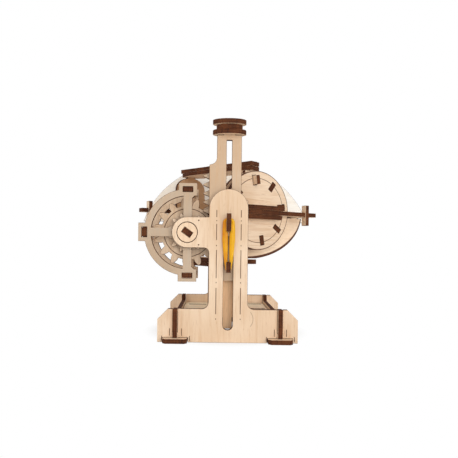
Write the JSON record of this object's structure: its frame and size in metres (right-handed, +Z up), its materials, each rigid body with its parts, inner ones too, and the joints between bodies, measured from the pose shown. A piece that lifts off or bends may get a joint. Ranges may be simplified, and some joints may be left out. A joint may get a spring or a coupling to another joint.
{
  "type": "mechanical_puzzle",
  "caption": "Laser-cut plywood mechanical puzzle: a spring-back plunger drives a rack, pinion and caged gear beside an indicator disc on an oblique axle, on a footed tower base.",
  "frame": {"origin": "on the ground, in the middle of the object's box seen from above, midway between the front and back plates", "axes": "+X to the right seen from the front, +Y from the front plate to the back plate, +Z up along the plunger's travel"},
  "size_m": [0.1286, 0.098, 0.1347],
  "materials": {
    "ply": "matte",
    "rubber": "satin"
  },
  "bodies": {
    "frame": {"front_plate": "ply", "back_plate": "ply", "side_rail_left": "ply", "side_rail_right": "ply", "foot_front_left": "ply", "foot_front_right": "ply", "foot_back_left": "ply", "foot_back_right": "ply", "base_shelf": "ply", "slider_guide_strip": "ply", "slider_guide_plate": "ply", "second_axle_bracket": "ply", "band_lug_upper": "ply", "cage_plate_front": "ply", "cage_plate_back": "ply", "cage_slat_top": "ply", "cage_slat_left": "ply", "cage_slat_bottom": "ply", "pedestal_near": "ply", "pedestal_far": "ply", "cradle_top": "ply", "cradle_lower": "ply", "wing_plate": "ply", "far_post": "ply", "bridge_top": "ply", "bridge_lower": "ply", "arm_right_top": "ply", "arm_right_middle": "ply", "arm_right_bottom": "ply", "arm_left": "ply", "tip_plate_right": "ply", "tip_plate_left": "ply", "dial_board": "ply", "board_peg": "ply", "rubber_band": "rubber"},
    "plunger": {"slider_bar": "ply", "slider_rack": "ply", "button_bottom": "ply", "button_middle": "ply", "button_top": "ply", "band_lug_lower": "ply"},
    "drive": {"drive_axle": "ply", "drive_bush_front": "ply", "drive_bush_back": "ply", "rack_pinion": "ply", "drive_gear": "ply"},
    "second": {"second_axle": "ply", "small_pinion": "ply", "kicker": "ply"},
    "disc": {"disc_front": "ply", "disc_back": "ply", "disc_axle": "ply", "disc_stop_peg": "ply", "disc_tab_1": "ply", "disc_tab_2": "ply", "disc_tab_3": "ply", "disc_tab_4": "ply", "disc_tab_6": "ply", "disc_tab_7": "ply", "disc_tab_8": "ply"}
  },
  "joints": [
    {"name": "plunger_slide", "type": "slide", "parent": "frame", "child": "plunger", "axis": [0, 0, 1], "range_m": [-0.03, 0], "stiffness_N_per_m": 60, "springref_m": 0.02, "deforming": ["rubber_band"]},
    {"name": "drive_spin", "type": "hinge", "parent": "frame", "child": "drive", "pos_m": [-0.0249, -0.03, 0.0661], "axis": [0, 1, 0], "range_deg": [0, 154.85]},
    {"name": "second_spin", "type": "hinge", "parent": "frame", "child": "second", "pos_m": [0, -0.03, 0.05295], "axis": [0, 1, 0], "range_deg": [-331.83, 0]},
    {"name": "disc_turn", "type": "hinge", "parent": "frame", "child": "disc", "pos_m": [0.00263, 0.00775, 0.0816], "axis": [0.5446, -0.8387, 0], "range_deg": [-76, 54]}
  ],
  "couplings": [
    {"joint": "drive_spin", "follows": "plunger_slide", "rad_per_m": -90.09},
    {"joint": "second_spin", "follows": "plunger_slide", "rad_per_m": 193.05}
  ]
}
